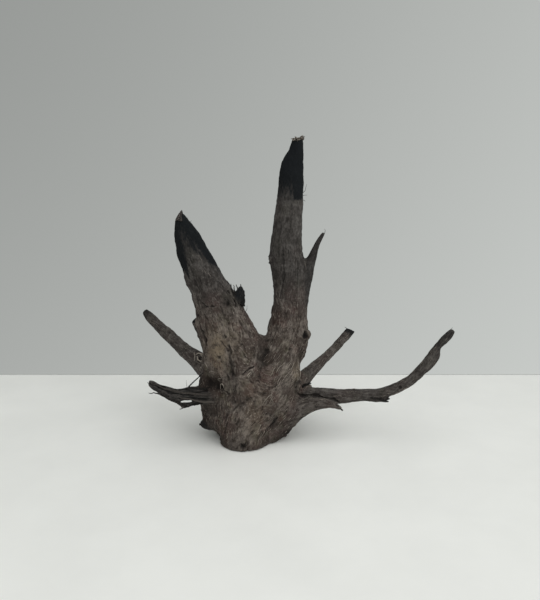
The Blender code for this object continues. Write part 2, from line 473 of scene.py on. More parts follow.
normals = outward()
z = points[:, 2] / MM
slender = np.clip(thickness / THIN_LIMB, 0.25, 1)
lift = SKIN_SPARE + FLUTE_HEIGHT * slender**1.5 * grain_lumps(15, 120, 1)
lift += 0.5 * FLUTE_HEIGHT * slender**1.5 * grain_lumps(8, 60, 2)
lift += 1.1 * MM * slender * lumps(points, 14 * MM, 3) + 0.6 * MM * slender * lumps(points, 6 * MM, 10)
smooth_part = np.maximum(0.55 * ramp(z, 170, 240), 0.5 * limb_share)
rough = (0.4 + 1.1 * ramp(lumps(points, 24 * MM, 14), -0.35, 0.35)) * (1 - smooth_part)
lift += FURROW_HEIGHT * slender * rough * grain_lumps(3.8, 30, 4)
lift += FIBRE_HEIGHT * rough * grain_lumps(2.0, 13, 5)
lift += CRUMB_HEIGHT * slender * (0.4 + 0.6 * rough) * crumble

slits = ramp(grain_lumps(2.8, 26, 6), 0.36, 0.6) * ramp(lumps(points, 30 * MM, 7), -0.25, 0.2)
lift -= SLIT_DEPTH * slender * slits
flakes = lumps(points, 17 * MM, 15) + 0.45 * grain_lumps(5, 16, 16)
bark = ramp(flakes, 0.08, 0.2) * (1 - 0.6 * limb_share) * (1 - ramp(z, 235, 285))
lift += BARK_THICKNESS * slender * bark
print("lift", span(lift, MM), "mm")

# %% [markdown]
# ## Hollows, cracks and knots in their own places
#
# These are sculpted one by one. A hollow is a soft dent, longer one way than the other; one of
# negative depth is a swelling. A crack follows a short path. A knot is a raised collar round a
# sunken eye.

# %% Hollows and swellings, in mm: place, radius, stretch and depth
HOLLOWS = [
    ((-56, -34, 85), 15, (1.4, 1, 0.62), 8.5), ((-24, -46, 94), 8, (0.6, 1, 3.2), 2.6),
    ((256, -24, 150), 9, EVEN, -1.2), ((242, -22, 121), 6, EVEN, -1.6), ((252, -22, 130), 5, EVEN, 1.2),
    ((249, -24, 142), 7, EVEN, -1.2), ((-104, 68, 106), 7, EVEN, -0.9), ((-128, -48, 89), 6, EVEN, -1.4),
    ((-140, 104, 124), 6, EVEN, 0.8), ((-158, 120, 135), 6, EVEN, -0.3), ((-150, 113, 130), 24, EVEN, 0.8),
    ((33, 15, 310), 22, (0.5, 1.5, 2), 1.0), ((8, 0, 150), 12, (0.8, 1.5, 1.5), 1.4),
    ((66, -6, 86), 6, (1, 1.2, 1.2), 3.0), ((-64, -13, 22), 8, EVEN, -2.2),
    ((57, -21, 84), 5, (0.8, 1, 1.4), 3.0), ((182, -14, 57), 6, (1, 1.5, 1), 3.4),
    ((13, -30, 116), 12, (0.7, 1, 1.9), 3.5), ((62, -18, 76), 8, (0.9, 1, 1.2), 5.5),
    ((-55, -28, 46), 11, (0.8, 1, 1.2), 3.0), ((64, -12, 112), 13, (0.6, 1.2, 1.6), 3.4),
    ((-72, -10, 128), 10, (0.6, 1.2, 1.8), 3.2), ((66, 2, 98), 10, (0.8, 1, 1), 3.0),
    ((-22, -44, 148), 16, (0.8, 1, 1.6), -1.6), ((30, -30, 90), 18, (0.7, 1, 1.8), -1.4),
    ((24, 46, 60), 16, (0.8, 1, 1.9), 3.5), ((-30, 44, 110), 12, (0.7, 1, 1.8), 3.0),
    ((10, 30, 128), 11, (0.8, 1.2, 1), 2.5), ((37, 20, 362), 20, (0.5, 1, 1.5), -2.4),
    ((67, 18, 290), 26, (0.5, 1.3, 2.2), 0.5), ((20, -50, 0), 26, (1.6, 0.7, 0.35), -1.6),
    ((-30, -44, 0), 26, (1.0, 1, 0.35), -1.2),
]

# the deeper hollows are darkened with painted shade; this mask carries it to the material
hollow_shade_mask = np.zeros(len(points))
for centre, radius, stretch, depth in HOLLOWS:
    dent = near(centre, radius, stretch)
    lift -= depth * MM * dent
    hollow_shade_mask = np.maximum(hollow_shade_mask, dent * np.clip(depth / 5, 0, 1))
hollow_shade_mask *= np.clip(0.82 + 0.5 * crumble + 0.3 * wander, 0.35, 1.1)
print(len(HOLLOWS), "hollows and swellings")

# %% Cracks, in mm: path, width and depth
CRACK_PATHS = [
    ([(-38, -44, 42), (-20, -50, 60), (-2, -49, 71)], 3.8, 0.9),
    ([(12, -45, 17), (17, -41, 22), (24, -35, 27), (28, -34, 34), (32, -34, 38)], 4.0, 1.6),
    ([(-12, -45, 103), (-5, -43, 109), (2, -40, 111)], 3.2, 2.4),
    ([(-49, -37, 159), (-41, -39, 154), (-36, -40, 151)], 2.2, 0.9),
    ([(-39, -40, 145), (-35, -41, 140), (-30, -41, 134)], 2.4, 1.0),
    ([(19, -18, 126), (15, -26, 117), (12, -33, 109), (8, -40, 98)], 5.0, 1.6),
    ([(-70, -23, 174), (-68, -24, 166), (-66, -25, 156), (-62, -28, 146), (-59, -30, 137)], 4.4, 3.4),
    ([(-48, -37, 79), (-42, -40, 83), (-37, -43, 80), (-31, -46, 76)], 3.6, 2.2),
    ([(40, -3, 252), (41, -6, 226), (35, -6, 193)], 2.4, 1.4),
    ([(-84, -33, 247), (-77, -34, 236), (-70, -33, 214)], 2.0, 1.2),
    ([(-30, -41, 141), (-27, -42, 132), (-29, -43, 124), (-25, -44, 113), (-26, -45, 103)], 4.4, 1.8),
    ([(-26, -45, 103), (-21, -47, 90), (-25, -48, 77), (-24, -49, 64)], 4.4, 1.2),
    ([(62, -12, 64), (67, -9, 61), (80, -8, 60), (93, -9, 58), (108, -11, 55), (120, -8, 49)], 3.0, 2.6),
    ([(-31, -22, 206), (-22, -24, 192), (-14, -24, 176)], 2.4, 3.5),
    ([(-60, -36, 77), (-84, -42, 74), (-104, -46, 77), (-120, -50, 86)], 2.2, 2.4),
    ([(-50, -40, 66), (-66, -40, 66), (-80, -44, 67), (-96, -46, 69)], 2.2, 2.4),
    ([(-94, -44, 80), (-112, -48, 85), (-128, -52, 92)], 1.8, 1.6),
    ([(-68, -30, 197), (-58, -35, 190), (-48, -36, 190)], 2.0, 1.2),
    ([(36, -30, 140), (34, -28, 170), (38, -18, 190)], 2.0, 1.2),
    ([(30, 50, 30), (24, 52, 66), (10, 52, 96)], 3.2, 2.4),
    ([(-50, 32, 40), (-46, 38, 80), (-40, 30, 130)], 2.8, 1.8),
    ([(-62, 6, 206), (-54, 10, 184), (-40, 20, 150)], 2.4, 1.6),
    ([(50, 36, 300), (48, 38, 262), (52, 32, 226)], 2.4, 1.6),
]

crack_mask = 0.5 * slits
for path, width, depth in CRACK_PATHS:
    split = beside(path, width)
    lift -= depth * MM * split
    crack_mask = np.maximum(crack_mask, split * min(1, 0.28 + 0.26 * depth))
print(len(CRACK_PATHS), "cracks")

# %% Knots
eye_mask = np.zeros(len(points))
for centre, radius, height, depth in KNOTS.values():
    distance = over_skin(points - np.array(centre) * MM) / (radius * MM)
    distance += 0.4 * lumps(points, 6 * MM, 12) + 0.3 * crumble
    collar = np.exp(-(((distance - 1) / 0.38) ** 2))
    eye = np.exp(-((distance / 0.6) ** 2))
    lift += MM * (height * collar - depth * eye)
    eye_mask = np.maximum(eye_mask, eye)
print(len(KNOTS), "knots")

# %% Move the points, keeping the sawn butt flat on the ground
on_ground = ramp(points[:, 2], -0.2 * MM, 3 * MM)
points = points + normals * (lift * on_ground)[:, None]
print("lift with hollows, cracks and knots", span(lift, MM), "mm")

# %% [markdown]
# Some limbs end in a clean break. Points that lie beyond the break are put back onto its plane,
# which leaves a flat face with a sharp rim.

# %% Broken ends, in mm: limb, a place on the break, the way it faces
BREAKS = [
    ("right_back_branch", (149.5, 131, 114.5), (0.42, 0.25, 0.87)),
    ("high_left_stub", (-72, -12, 167.5), (-0.45, -0.2, 0.87)),
    ("torn_branch", (-133, -50, 92), (-0.95, -0.1, 0.25)),
    ("back_stub", (-17, 62, 90), (0.05, 0.9, 0.4)),
]
BREAK_REACH = 16 * MM

end_mask = np.zeros(len(points))
for name, place, facing in BREAKS:
    facing = np.array(facing) / np.linalg.norm(facing)
    offset = points - np.array(place) * MM
    beyond = offset @ facing + 0.5 * MM * crumble
    mine = on_limb(name) * (np.linalg.norm(offset, axis=1) < BREAK_REACH) > 0.3
    points -= facing * np.where(mine, np.maximum(beyond, 0), 0)[:, None]
    end_mask = np.maximum(end_mask, mine * ramp(beyond, -0.6 * MM, 0.2 * MM))
points[:, 2] = np.maximum(points[:, 2], 0)
normals = outward()
print("broken ends", len(BREAKS))

# %% [markdown]
# ## What the colour needs to know
#
# Recesses are darkened by dirt and painted shade, and ridges are rubbed pale. A recess is where a
# point lies below the average of its surroundings, so evened-out copies of the skin are compared
# with the skin itself, near and far. Charring, pale rubbed wood and red stains lie in places of
# their own. Each limb also weathered its own way: those that stood up or stuck out are greyer and
# darker than the stump. Painted shade also lies under the stubs and the buttress and in the
# hollows, and the wood is darker towards the bottom.

# %% Recesses, near and far
fine_recess = ((spread(points, 4) - points) * normals).sum(1)
wide_recess = ((spread(points, 60) - points) * normals).sum(1)
print("recesses", span(wide_recess, MM), "mm")

# %% Charring
x, z = points[:, 0] / MM, points[:, 2] / MM
ragged = lumps(points, 9 * MM, 13)
torn_edge = grain_lumps(2.5, 22, 17)
on_left = left_prong["share"] < tall_prong["share"]
left_edge = 257 - 28 * ramp(-left_side, 0.2, 0.6) - 34 * ramp(left_side, 0.45, 0.95)
left_soft = 26 - 20 * ramp(-left_side, 0.2, 0.6)
tall_edge = 329 - 8 * ramp(tall_side, 0.05, 0.3)
tall_soft = 31 - 28 * ramp(tall_side, 0.05, 0.3)
# the char thins down the middle of the left prong's front, below 292 mm: a painted highlight
left_char_with_highlight = 0.92 - 0.24 * np.exp(-(((left_side + 0.1) / 0.35) ** 2)) * (z < 292)
char = np.where(
    on_left,
    left_char_with_highlight * ramp(z + 6 * ragged + 14 * torn_edge, left_edge - left_soft, left_edge + left_soft),
    ramp(z + 2 * ragged + 8 * torn_edge * (tall_side < 0.1), tall_edge - tall_soft, tall_edge + tall_soft),
)
CHARRED_LIMBS = [
    ("torn_branch", 0.15, 0.5, 0.45), ("low_left_stub", 0.2, 0.7, 0.35), ("high_left_stub", 0.7, 1.0, 0.5),
    ("bark_flap", 0.3, 0.6, 0.7), ("long_branch", 0.82, 0.96, 0.5), ("right_back_branch", 0.9, 0.97, 0.85),
    ("left_back_branch", 0.86, 0.97, 0.5), ("side_spike", 0.6, 1.0, 0.35),
]
for name, start, end, amount in CHARRED_LIMBS:
    char = np.maximum(char, amount * on_limb(name, start, end))
char = np.maximum(char, 0.75 * end_mask)
print("charring", span(char))

# %% Pale and red wood
pale = near((-44, -40, 133), 16, (0.85, 1.2, 1.5)) * ramp(0.6 * ragged - (x + 31) / 9, -0.3, 0.3)
PALE_PLACES = [
    ((58, -20, 96), 8, 0.9), ((10, 44, 70), 22, 0.45), ((4, -48, 50), 18, 0.3), ((-24, -44, 150), 12, 0.3),
]
for centre, radius, amount in PALE_PLACES:
    pale = np.maximum(pale, amount * near(centre, radius, (0.8, 1, 2.0)))
red = near((36, -34, 38), 4)
RED_PLACES = [
    ((-48, -37, 197), 14, 0.7), ((49, -12, 205), 13, 0.6), ((120, -9, 62), 11, 0.8),
    ((20, -36, 92), 14, 0.35), ((-60, -28, 140), 12, 0.5), ((-2, -46, 84), 10, 0.8),
    ((30, 44, 110), 18, 0.5), ((-20, 40, 40), 16, 0.5),
]
for centre, radius, amount in RED_PLACES:
    red = np.maximum(red, amount * near(centre, radius))
print("pale places", len(PALE_PLACES) + 1, "and red places", len(RED_PLACES) + 1)

# %% Shade and greyness of each limb, then painted shade in dark places
prong_top = ramp(z, 158, 232) * (1 - limb_share)
SHADES = {
    "long_branch": (0.75, 0.5), "buttress": (0.74, 0.25), "left_back_branch": (0.78, 0.4),
    "right_back_branch": (0.76, 0.3), "torn_branch": (0.72, 0.5), "side_spike": (0.36, 0.7),
    "back_stub": (0.8, 0.3), "low_left_stub": (0.6, 0.6), "high_left_stub": (0.66, 0.4),
    "bark_flap": (0.5, 0.6),
}
shade = 1 - 0.36 * prong_top
greyness = 0.6 * prong_top
for name, (darkening, own_grey) in SHADES.items():
    share = on_limb(name, 0.1, 0.4)
    shade = shade * (1 - share) + darkening * share
    greyness = greyness * (1 - share) + own_grey * share
# painted shade under stubs and buttress and in hollows, holes and knots: place, radius, stretch, amount
PAINTED_SHADE_PLACES = [
    ((-68, -14, 20), 9, (1, 1.2, 0.9), 0.6), ((48, -28, 17), 7, EVEN, 0.5),
    ((-64, -20, 42), 15, (0.8, 1.4, 1.5), 0.6), ((-70, -22, 88), 15, (0.9, 1.4, 1.2), 0.45),
    ((46, -26, 12), 15, (1, 1.2, 1), 0.65), ((-31, -45, 92), 8, (0.8, 1, 2.4), 0.4),
    ((43, -26, 13), 9, EVEN, 0.6), ((-68, -18, 156), 9, (0.7, 1.2, 1.6), 0.4), ((66, -8, 84), 8, EVEN, 0.7),
    ((14, -24, 122), 9, (0.6, 1.3, 1.8), 0.4), ((67, -11, 146), 7, EVEN, 0.75),
    ((28, -35, 34), 6, (0.8, 1, 1.4), 0.6), ((-31, -33, 194), 9, (1, 1, 1.2), 0.65),
    ((-50, -36, 86), 11, EVEN, 0.3), ((62, -16, 78), 8, EVEN, 0.6), ((-14, -40, 62), 9, (0.9, 1, 1.4), 0.3),
]
broken = np.clip(0.9 + 0.55 * crumble + 0.35 * wander, 0.3, 1.35)
for centre, radius, stretch, amount in PAINTED_SHADE_PLACES:
    shade *= 1 - amount * near(centre, radius, stretch) * broken
# darker towards the bottom, up to 25 mm above the ground
shade *= 0.58 + 0.42 * ramp(z + 4 * ragged, 1, 25)
sawn = ramp(-normals[:, 2], 0.8, 0.95) * (points[:, 2] < 0.4 * MM)
print("shade", span(shade))

# %% Store them on the skin
SHADE_RANGE = 1.2
FINE_RECESS = 0.5 * MM
WIDE_RECESS = 2.4 * MM


def store(name, values):
    """Keeps one number, or three, for each point under a name that the material reads."""
    kind, field = ("FLOAT_VECTOR", "vector") if values.ndim == 2 else ("FLOAT", "value")
    attribute = skin.data.attributes.new(name, kind, "POINT")
    attribute.data.foreach_set(field, values.astype(np.float32).ravel())


store("stump_grain", stump_grain)
store("limb_grain", limb_grain)
store("limb_share", limb_share)
store("fine_recess", np.clip(fine_recess / FINE_RECESS, -1, 1))
store("wide_recess", np.clip(wide_recess / WIDE_RECESS, -1, 1))
MASKS = {
    "crack": crack_mask, "hollow_shade": hollow_shade_mask, "eye": eye_mask, "char": char, "pale": pale, "red": red,
    "bark": bark, "shade": shade / SHADE_RANGE, "greyness": greyness, "sawn": sawn,
}
for name, mask in MASKS.items():
    store(name, np.clip(mask, 0, 1))
print("stored on the skin:", *[attribute.name for attribute in skin.data.attributes])

# %% Thin the mesh where the skin is smooth
SKIN_TRIANGLES = 194000
skin_way = way.copy()
skin_points = points.copy()
faces = sum(len(face.vertices) - 2 for face in skin.data.polygons)
apply_modifier(skin, "DECIMATE", ratio=min(1, SKIN_TRIANGLES / faces), use_collapse_triangulate=True)
pick(skin)
bpy.ops.object.shade_smooth()
print("skin has", len(skin.data.polygons), "triangles")


# %% [markdown]
# ## The wood
#
# Old root wood that has lain outdoors is grey-brown and quite matt: rain washed the tannins out of
# the upper fibres and left them silver, dirt and painted shade darken the furrows, and the heart
# shows warm tan where bark came off late. The charred ends are black. Wood has an IOR near 1.5, but
# on such torn fibres hardly any gloss is left, so the specular level is turned far down.

# %% Colours and nodes
def linear(code):
    """An sRGB hex colour as the linear colour that a shader takes."""
    parts = [int(code[i : i + 2], 16) / 255 for i in (1, 3, 5)]
    return (*[v / 12.92 if v <= 0.04045 else ((v + 0.055) / 1.055) ** 2.4 for v in parts], 1.0)


def feed(node, sockets):
    """Gives each named socket of a node a value, a hex colour or the output of another node."""
    for name, value in sockets.items():
        if isinstance(value, bpy.types.NodeSocket):
            tree.links.new(value, node.inputs[name])
        else:
            node.inputs[name].default_value = linear(value) if isinstance(value, str) else value


def add_node(kind, sockets=None, stops=(), **settings):
    """Adds a shader node to the tree in hand, with its settings, and feeds its sockets."""
    node = tree.nodes.new("ShaderNode" + kind)
    for name, value in settings.items():
        setattr(node, name, value)
    feed(node, sockets or {})
    for i, (place, colour) in enumerate(stops):
        element = node.color_ramp.elements[i] if i < 2 else node.color_ramp.elements.new(place)
        element.position = place
        element.color = linear(colour)
    return node


def start_material(name):
    """A new material, whose tree is then the one in hand, and its shader."""
    global tree
    material = bpy.data.materials.new(name)
    material.use_nodes = True
    tree = material.node_tree
    return material, tree.nodes["Principled BSDF"]


# %% Numbers and colours inside a material, each as a socket
def stored(name, output="Fac"):
    """A value kept on the skin."""
    return add_node("Attribute", attribute_name=name).outputs[output]


def compute(kind, *values):
    """One sum, product or other step on numbers."""
    return add_node("Math", dict(enumerate(values)), operation=kind).outputs[0]


def times(first, second):
    """A product."""
    return compute("MULTIPLY", first, second)


def weighted(*parts):
    """The sum of some numbers, each times its weight."""
    total = 0.0
    for value, weight in parts:
        total = compute("ADD", total, times(value, weight))
    return total


def between(value, start, end, low=0.0, high=1.0):
    """A number moved smoothly from one range to another."""
    values = {"Value": value, "From Min": start, "From Max": end, "To Min": low, "To Max": high}
    return add_node("MapRange", values, interpolation_type="SMOOTHSTEP").outputs[0]


def mix_colour(share, low, high, blend="MIX"):
    """One colour over another by a share."""
    values = {0: share, 6: low, 7: high}
    return add_node("Mix", values, data_type="RGBA", blend_type=blend).outputs[2]


# %% Noise and bumps inside a material, their sizes in mm
def streaks(width, length, detail=2.0):
    """Noise drawn out along the grain."""
    made = []
    for name in ("stump_grain", "limb_grain"):
        scale = (1 / (width * MM), 1 / (width * MM), 1 / (length * MM))
        place = add_node("VectorMath", {0: stored(name, "Vector"), 1: scale}, operation="MULTIPLY")
        sockets = {"Vector": place.outputs[0], "Scale": 1.0, "Detail": detail, "Roughness": 0.6}
        made.append(add_node("TexNoise", sockets).outputs["Fac"])
    return add_node("Mix", {0: stored("limb_share"), 2: made[0], 3: made[1]}).outputs[0]


def spots(size, detail=2.0):
    """Noise of even lumps."""
    place = add_node("TexCoord").outputs["Object"]
    sockets = {"Vector": place, "Scale": 1 / (size * MM), "Detail": detail, "Roughness": 0.62}
    return add_node("TexNoise", sockets).outputs["Fac"]


def bumps(strength, size, height):
    """The normal of a surface with fine bumps."""
    sockets = {"Strength": strength, "Distance": size * MM, "Height": height}
    return add_node("Bump", sockets).outputs["Normal"]


# %% The noises of the wood
wood, shader = start_material("weathered_root_wood_grain")
broad = streaks(9, 50)
medium = streaks(3.4, 9, 4.0)
fine = streaks(1.3, 6, 2.0)
dashes = streaks(0.8, 10, 1.0)
patches = spots(30, 4.0)
moss = spots(21, 3.0)
mottle = spots(8, 6.0)
grit = spots(2.6, 3.0)
specks = spots(1.7)

# a wave texture has one ring for each 2 pi of 20 times its scale
RING_WIDTH = 2.6 * MM
RING_SCALE = 2 * math.pi / (20 * RING_WIDTH)
butt_place = add_node("TexCoord").outputs["Object"]
ring_sockets = {
    "Vector": butt_place, "Scale": RING_SCALE, "Distortion": 6.0, "Detail": 3.0, "Detail Scale": 0.35,
}
rings = add_node("TexWave", ring_sockets, wave_type="RINGS", rings_direction="Z").outputs["Fac"]
print("noises of the wood made with", len(tree.nodes), "nodes")

# %% Dirt and painted shade in everything that lies deep
near_dirt_and_shade = between(stored("fine_recess"), 0.1, 0.85, 0, 0.85)
far_dirt_and_shade = between(stored("wide_recess"), 0.1, 0.9, 0, 0.8)
dirt_and_shade = compute("MAXIMUM", near_dirt_and_shade, far_dirt_and_shade)
for name, amount in (("crack", 0.9), ("hollow_shade", between(mottle, 0.4, 0.58, 0.98, 0.6)), ("eye", 0.97)):
    dirt_and_shade = compute("MAXIMUM", dirt_and_shade, times(stored(name), amount))
print("dirt made; the material has", len(tree.nodes), "nodes")

# %% Layers of colour, from the bare wood outwards
WOOD_DARK = "#1D1A18"
WOOD_BROWN = "#3F3732"
WOOD_GREY = "#5D5550"
WOOD_SILVER = "#80776F"
FIBRE_PALE = "#A0978C"
WOOD_TAN = "#786B5B"
WOOD_RED = "#4A3430"
BARK_BROWN = "#352B27"
WOOD_OLIVE = "#4A4737"
CHAR_BLACK = "#17191B"
DIRT_AND_SHADE = "#120F0E"

tone = weighted((broad, 0.2), (medium, 0.26), (mottle, 0.36), (grit, 0.18))
WOOD_STOPS = [(0.385, WOOD_DARK), (0.63, WOOD_SILVER), (0.455, WOOD_BROWN), (0.52, WOOD_GREY)]
colour = add_node("ValToRGB", {"Fac": tone}, WOOD_STOPS).outputs["Color"]
layers = [
    # stains in patches, on the bark, around red and pale places and in the rings of the butt
    (between(patches, 0.5, 0.62, 0, 0.42), WOOD_RED),
    (between(moss, 0.52, 0.64, 0, 0.35), WOOD_OLIVE),
    (times(stored("bark"), between(mottle, 0.36, 0.54, 0.35, 0.8)), BARK_BROWN),
    (times(stored("red"), between(mottle, 0.4, 0.6, 0.3, 0.9)), WOOD_RED),
    (times(stored("pale"), between(mottle, 0.4, 0.54, 0.3, 0.95)), WOOD_TAN),
    (times(stored("sawn"), between(rings, 0.25, 0.8, 0.25, 0.9)), WOOD_TAN),
    # fibres: dark gaps and pale ridges
    (between(fine, 0.47, 0.34, 0, 0.5), WOOD_DARK),
    (between(fine, 0.57, 0.68, 0, 0.4), WOOD_SILVER),
    (between(stored("fine_recess"), -0.2, -0.9, 0, 0.4), WOOD_SILVER),
    (times(between(dashes, 0.62, 0.7, 0, 0.55), between(patches, 0.42, 0.58, 0.1, 1.0)), FIBRE_PALE),
    # specks, dirt with painted shade in what lies deep, and a brown veil on the greyest limbs
    (between(specks, 0.66, 0.74, 0, 0.5), FIBRE_PALE),
    (between(specks, 0.38, 0.3, 0, 0.6), DIRT_AND_SHADE),
    (dirt_and_shade, DIRT_AND_SHADE),
    (times(stored("greyness"), 0.5), WOOD_BROWN),
]
for share, layer in layers:
    colour = mix_colour(share, colour, layer)
print(len(layers), "layers of colour over the bare wood")

# %% Each limb's own weathering, the painted shade, the charring and the finish
grey = add_node("HueSaturation", {"Saturation": 0.25, "Color": colour}).outputs["Color"]
colour = mix_colour(stored("greyness"), colour, grey)
# the stored shade holds each limb's own darkness and the painted shade
darkening = times(stored("shade"), SHADE_RANGE)
darkening = add_node("CombineColor", {i: darkening for i in range(3)}).outputs[0]
colour = mix_colour(1.0, colour, darkening, "MULTIPLY")
char_share = between(compute("ADD", stored("char"), between(fine, 0.35, 0.65, -0.15, 0.15)), 0.12, 0.88)
colour = mix_colour(char_share, colour, CHAR_BLACK)
wood_height = weighted((medium, 0.3), (fine, 0.3), (grit, 0.45), (dashes, 0.2))
finish = {
    "Base Color": colour,
    "Normal": bumps(0.7, 1.2, wood_height),
    "Roughness": between(fine, 0.3, 0.7, 0.78, 0.95),
    "Specular IOR Level": between(char_share, 0, 1, 0.16, 0.07),
    "IOR": 1.5,
}
feed(shader, finish)
skin.data.materials.clear()
skin.data.materials.append(wood)
print("the wood has", len(tree.nodes), "nodes")

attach(skin, "root")
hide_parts("dry_root")


# %% [markdown]
# ## Strands: fibres, splinters and hairs
#
# Weather loosens the outer fibres, so old wood is never quite smooth: pale slivers lift off along
# the grain, torn ends bristle, and a few hairs of rootlet stay on. All of these are thin closed
# tubes that taper to a point, made from a path and a thickness. Each one has a tone from 0 to 1,
# which its material turns into a colour from dark to pale.

# %% A mesh of tapered strands
def add_strands(name, strands, material, sides=3):
    """One object of closed tapered tubes; each strand is a path, its radii and its tone."""
    verts, tris, tones = [], [], []
    for path, radii, strand_tone in strands:
        path = np.asarray(path, float)
        run = np.gradient(path, axis=0)
        run /= np.linalg.norm(run, axis=1, keepdims=True)
        side = np.cross(run, (0.31, 0.67, 0.67))
        side /= np.linalg.norm(side, axis=1, keepdims=True)
        up = np.cross(run, side)
        first = len(verts)
        verts.append(path[0])
        for centre, radius, across, over in zip(path, radii, side, up):
            for k in range(sides):
                angle = 2 * math.pi * k / sides
                verts.append(centre + radius * (math.cos(angle) * across + math.sin(angle) * over))
        verts.append(path[-1])
        last = len(verts) - 1
        for k in range(sides):
            after = (k + 1) % sides
            tris.append((first, first + 1 + after, first + 1 + k))
            for ring in range(len(path) - 1):
                a = first + 1 + ring * sides
                tris.append((a + k, a + after, a + sides + after))
                tris.append((a + k, a + sides + after, a + sides + k))
            end = last - sides
            tris.append((last, end + k, end + after))
        tones += [strand_tone] * (last - first + 1)
    mesh = bpy.data.meshes.new(name)
    mesh.from_pydata([(v[0], v[1], max(v[2], 0.05 * MM)) for v in verts], [], tris)
    mesh.attributes.new("tone", "FLOAT", "POINT").data.foreach_set("value", np.array(tones, np.float32))
    mesh.materials.append(material)
    piece = bpy.data.objects.new(name, mesh)
    bpy.context.scene.collection.objects.link(piece)
    pick(piece)
    bpy.ops.object.shade_smooth()
    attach(piece, "root")
    print(name, len(strands), "strands,", len(tris), "triangles")
    return piece


# %% Materials of the strands
def strand_material(name, dark, pale):
    """Matt wood fibre that goes from dark to pale with the strand's own tone."""
    material, surface = start_material(name)
    grit_here = spots(1.1, 3.0)
    strand_tone = compute("ADD", stored("tone"), between(grit_here, 0.3, 0.7, -0.25, 0.25))
    finish = {
        "Base Color": mix_colour(between(strand_tone, 0, 1), dark, pale),
        "Roughness": between(grit_here, 0.3, 0.7, 0.8, 0.95),
        "Normal": bumps(0.5, 0.3, grit_here),
        "Specular IOR Level": 0.12,
    }
    feed(surface, finish)
    print(name, "goes from", dark, "to", pale)
    return material


weathered_fibre = strand_material("weathered_fibre", "#272220", "#9A9187")
charred_fibre = strand_material("charred_fibre", "#121111", "#4A4541")
tip_fibre = strand_material("tip_fibre", "#181514", "#6A6360")

# %% [markdown]
# The loose fibres start anywhere on the skin and creep along the grain, a short step at a time.
# After each step they snap back to the surface, so they hug it as real slivers do, and their middle
# stands a little proud.

# %% Loose fibres over the whole root
from mathutils.bvhtree import BVHTree
from mathutils.kdtree import KDTree

FIBRE_COUNT = 1300
FIBRE_STEP = 1.7 * MM
rng = np.random.default_rng(11)

# the grain is looked up at every third point of the skin
GRAIN_SKIP = 3
surface_tree = BVHTree.FromObject(skin, bpy.context.evaluated_depsgraph_get())
grain_tree = KDTree(len(skin_points[::GRAIN_SKIP]))
for i, place in enumerate(skin_points[::GRAIN_SKIP].tolist()):
    grain_tree.insert(place, i)
grain_tree.balance()


def creep(start, steps, step, turn=0.0):
    """A path over the skin that follows the grain; turn swings it to one side, in radians."""
    path = []
    place = Vector(start)
    before = None
    for _ in range(steps):
        spot, normal, _, _ = surface_tree.find_nearest(place)
        _, index, _ = grain_tree.find(spot)
        ahead = Vector(skin_way[GRAIN_SKIP * index])
        ahead = (ahead - normal * ahead.dot(normal)).normalized()
        ahead = (ahead + normal.cross(ahead) * turn).normalized()
        if before is not None:
            ahead = (0.6 * before + 0.4 * ahead).normalized()
        path.append((spot, normal))
        place = spot + ahead * step
        before = ahead
    return path


def sliver(start, steps, step, radius, strand_tone, turn=0.0, rise=0.5):
    """A sliver that lies on the skin and stands proud in its middle by rise times its radius."""
    path = creep(start, steps, step, turn)
    along = np.linspace(0, 1, len(path))
    proud = rise * radius * np.sin(math.pi * along) - 0.2 * radius
    places = [spot + normal * height for (spot, normal), height in zip(path, proud)]
    radii = radius * np.sin(math.pi * np.clip(along, 0.06, 0.94)) ** 0.7
    return places, radii, strand_tone


x, z = skin_points[:, 0] / MM, skin_points[:, 2] / MM
density = 0.8 + 3 * ramp(x, 0, 40) * (1 - ramp(z, 130, 170)) - 0.5 * ramp(z, 200, 260) - 0.3 * limb_share
density = np.maximum(density, 0.05) * ((char < 0.3) * (pale < 0.3) * (z > 6) + 0.04)
starts = rng.choice(len(skin_points), FIBRE_COUNT, p=density / density.sum())
strands = []
for start in starts:
    steps = int(rng.integers(4, 8))
    radius = rng.uniform(0.14, 0.32) * MM
    turn = rng.normal(0, 0.12)
    tone_here = rng.uniform(0.15, 0.95) * (1 - 0.5 * greyness[start])
    strands.append(sliver(skin_points[start], steps, FIBRE_STEP, radius, tone_here, turn))
add_strands("loose_fibres", strands, weathered_fibre)

# %% [markdown]
# ## The frayed end
#
# The tall prong ends in a brush of crushed fibres, packed closely and leaning outwards. Many short
# thick strands at random places of a small disc give it, with a few longer ones at its rim. From
# here on, paths and radii are given in millimetres.

# %% The frayed end of the tall prong
FRAY_COUNT = 300
FRAY_CENTRE = np.array((58.5, 25.5, 398.2))
FRAY_RADIUS = 6
FRAY_SLOPE = 0.26
strands = []
for _ in range(FRAY_COUNT):
    angle = rng.uniform(0, 2 * math.pi)
    reach = rng.uniform(0.2, 1.0)
    lean = np.array((math.cos(angle), math.sin(angle), 0.0))
    base = FRAY_CENTRE + lean * FRAY_RADIUS * reach + (0, 0, rng.uniform(-2.0, 1.4))
    slope = FRAY_SLOPE * (base[0] - FRAY_CENTRE[0])
    outwards = lean * rng.uniform(0.6, 3.6) * reach
    tip = base + outwards + (rng.uniform(-0.5, 1.4), 0, rng.uniform(0.0, 0.9) + slope)
    middle = (base + tip) / 2 + rng.normal(0, 0.35, 3)
    radius = rng.uniform(0.5, 1.05)
    path = [base, (base + middle) / 2, middle, (middle + tip) / 2, tip]
    radii = np.array((0.9, 1, 0.9, 0.6, 0.2)) * radius
    strands.append((np.array(path) * MM, radii * MM, rng.uniform(0.05, 0.75)))
RIM_TIPS = [(68.0, 24, 402.2), (66.0, 26, 403.4), (54.4, 24, 401.8), (49.8, 24, 399.0)]
for tip in RIM_TIPS:
    base = FRAY_CENTRE + (np.array(tip) - FRAY_CENTRE) * 0.4
    middle = (base + np.array(tip)) / 2 + (0, 0, 0.6)
    strands.append((np.array([base, middle, tip]) * MM, np.array((1.2, 0.8, 0.2)) * MM, 0.4))
add_strands("frayed_end", strands, weathered_fibre, sides=5)
